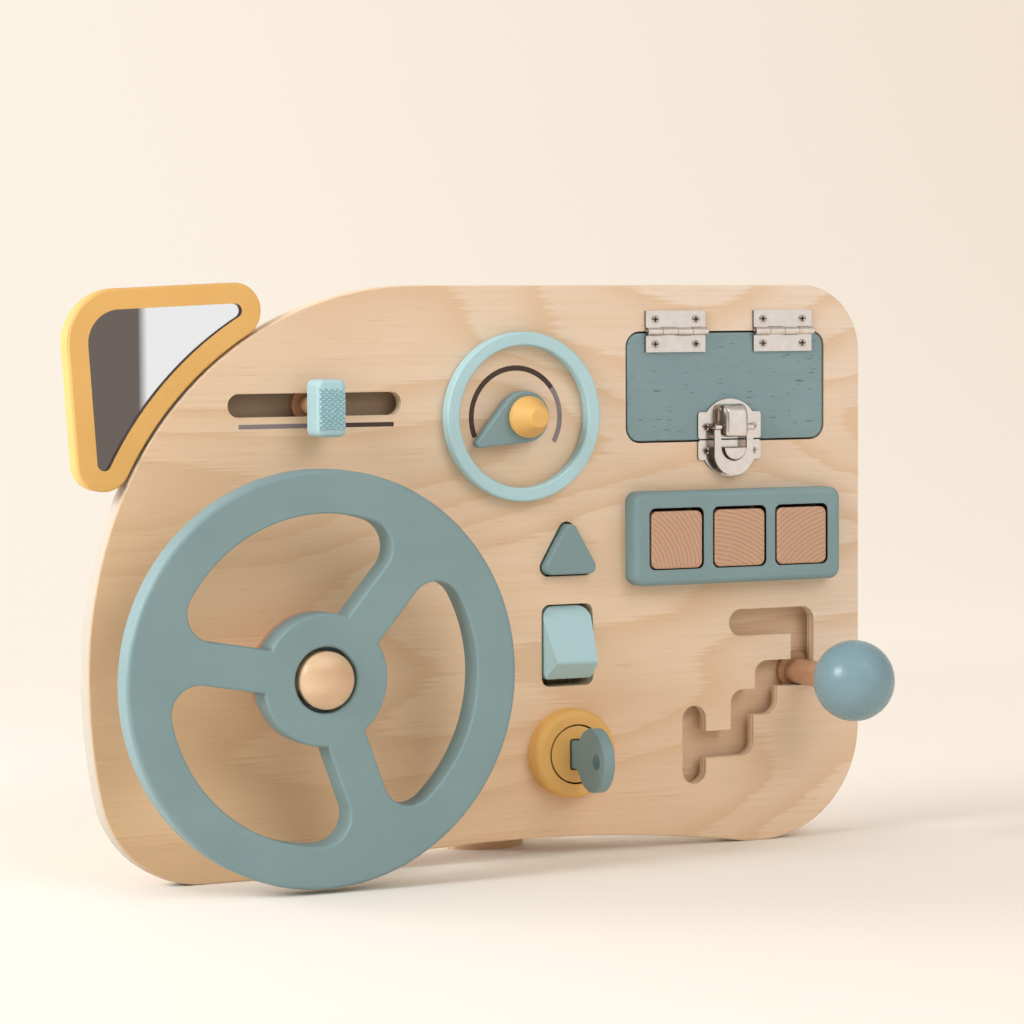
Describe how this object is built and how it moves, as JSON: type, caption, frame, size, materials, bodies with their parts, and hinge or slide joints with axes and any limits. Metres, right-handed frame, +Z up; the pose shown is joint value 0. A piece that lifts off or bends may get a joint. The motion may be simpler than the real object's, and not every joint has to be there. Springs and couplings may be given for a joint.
{
  "type": "busy board",
  "caption": "Free-standing wooden busy board with a toy car dashboard: wheel, slider, dial, latched door, push buttons, rocker, lock with key, gear lever and wing mirror.",
  "frame": {"origin": "on the floor, at the middle of the overall width and depth", "axes": "+X to the right of someone facing the board, +Y from the player through the board to its back, +Z up; the board's front face is the plane Y = 0"},
  "size_m": [0.3774, 0.126, 0.2522],
  "materials": {
    "plywood": "clear matt birch or poplar plywood",
    "beech": "clear matt solid beech",
    "yellow_wood": "matt warm yellow paint on wood",
    "teal_wood": "matt grey-teal paint on wood",
    "aqua_wood": "matt pale aqua paint on wood",
    "mirror_sheet": "silvered acrylic sheet",
    "nickel_steel": "nickel-plated pressed steel",
    "zinc_steel": "zinc-plated"
  },
  "bodies": {
    "board": {"assembly_screws": "zinc_steel", "axle_screw": "zinc_steel", "back_panel": "plywood", "board_fitting_screws": "nickel_steel", "button_centre_spring": "zinc_steel", "button_left_spring": "zinc_steel", "button_panel": "teal_wood", "button_right_spring": "zinc_steel", "core_board": "plywood", "dial_ring": "aqua_wood", "foot_screws": "zinc_steel", "foot_sole": "plywood", "foot_upright": "plywood", "front_board": "plywood", "hinge_left_board_leaf": "nickel_steel", "hinge_left_pin": "nickel_steel", "hinge_right_board_leaf": "nickel_steel", "hinge_right_pin": "nickel_steel", "latch_catch_plate": "nickel_steel", "lock_base": "yellow_wood", "mirror_back": "plywood", "mirror_dowels": "beech", "mirror_frame": "yellow_wood", "mirror_glass": "mirror_sheet", "rocker_pin": "zinc_steel", "triangle_button_spring": "zinc_steel", "wheel_axle": "beech", "wheel_post": "beech", "wheel_spacer": "beech"},
    "wheel": {"steering_wheel": "teal_wood"},
    "slider": {"slider_knob": "aqua_wood", "slider_stem": "beech", "slider_retainer": "beech", "slider_screw": "zinc_steel"},
    "dial": {"dial_pointer": "teal_wood", "dial_knob": "yellow_wood", "dial_spindle": "zinc_steel", "dial_washer": "zinc_steel"},
    "door_leaf": {"door": "teal_wood", "hinge_left_door_leaf": "nickel_steel", "hinge_right_door_leaf": "nickel_steel", "door_fitting_screws": "nickel_steel", "latch_door_plate": "nickel_steel", "latch_lever_pin": "nickel_steel"},
    "latch_lever": {"latch_lever": "nickel_steel", "latch_loop_pin": "nickel_steel"},
    "latch_loop": {"latch_loop": "nickel_steel"},
    "button_left": {"button_left": "beech"},
    "button_centre": {"button_centre": "beech"},
    "button_right": {"button_right": "beech"},
    "triangle_button": {"triangle_button": "teal_wood"},
    "rocker": {"rocker": "aqua_wood"},
    "lock": {"lock_cylinder": "yellow_wood", "lock_retainer": "beech", "lock_screw": "zinc_steel"},
    "key": {"key": "teal_wood"},
    "gear_lever": {"gear_rod": "beech", "gear_ball": "teal_wood", "gear_retainer": "beech", "gear_screw": "zinc_steel"}
  },
  "joints": [
    {"name": "wheel_turn", "type": "hinge", "parent": "board", "child": "wheel", "pos_m": [-0.0954, -0.0405, 0.0886], "axis": [0, 1, 0], "continuous": true},
    {"name": "slider_travel", "type": "slide", "parent": "board", "child": "slider", "axis": [1, 0, 0], "range_m": [-0.0335, 0.0352]},
    {"name": "dial_turn", "type": "hinge", "parent": "board", "child": "dial", "pos_m": [0.0156, -0.0055, 0.194], "axis": [0, 1, 0], "continuous": true},
    {"name": "door_swing", "type": "hinge", "parent": "board", "child": "door_leaf", "pos_m": [0.1191, -0.002, 0.2304], "axis": [-1, 0, 0], "range_deg": [0, 165]},
    {"name": "latch_lever_lift", "type": "hinge", "parent": "door_leaf", "child": "latch_lever", "pos_m": [0.1203, -0.0037, 0.1956], "axis": [-1, 0, 0], "range_deg": [0, 100]},
    {"name": "latch_loop_swing", "type": "hinge", "parent": "latch_lever", "child": "latch_loop", "pos_m": [0.1203, -0.0045, 0.1876], "axis": [-1, 0, 0], "range_deg": [0, 100]},
    {"name": "button_left_press", "type": "slide", "parent": "board", "child": "button_left", "axis": [0, 1, 0], "range_m": [0, 0.005], "stiffness_N_per_m": 300, "springref_m": -0.002, "deforming": ["button_left_spring"]},
    {"name": "button_centre_press", "type": "slide", "parent": "board", "child": "button_centre", "axis": [0, 1, 0], "range_m": [0, 0.005], "stiffness_N_per_m": 300, "springref_m": -0.002, "deforming": ["button_centre_spring"]},
    {"name": "button_right_press", "type": "slide", "parent": "board", "child": "button_right", "axis": [0, 1, 0], "range_m": [0, 0.005], "stiffness_N_per_m": 300, "springref_m": -0.002, "deforming": ["button_right_spring"]},
    {"name": "triangle_button_press", "type": "slide", "parent": "board", "child": "triangle_button", "axis": [0, 1, 0], "range_m": [0, 0.0045], "stiffness_N_per_m": 300, "springref_m": -0.002, "deforming": ["triangle_button_spring"]},
    {"name": "rocker_tilt", "type": "hinge", "parent": "board", "child": "rocker", "pos_m": [0.0391, 0.007, 0.0931], "axis": [1, 0, 0], "range_deg": [0, 22]},
    {"name": "lock_turn", "type": "hinge", "parent": "board", "child": "lock", "pos_m": [0.0392, -0.0045, 0.0458], "axis": [0, 1, 0], "range_deg": [0, 90]},
    {"name": "key_pull", "type": "slide", "parent": "lock", "child": "key", "axis": [0, -1, 0], "range_m": [0, 0.022]},
    {"name": "gear_shift", "type": "slide", "parent": "board", "child": "gear_lever", "axis": [0, 0, 1], "range_m": [0, 0.0237]}
  ]
}
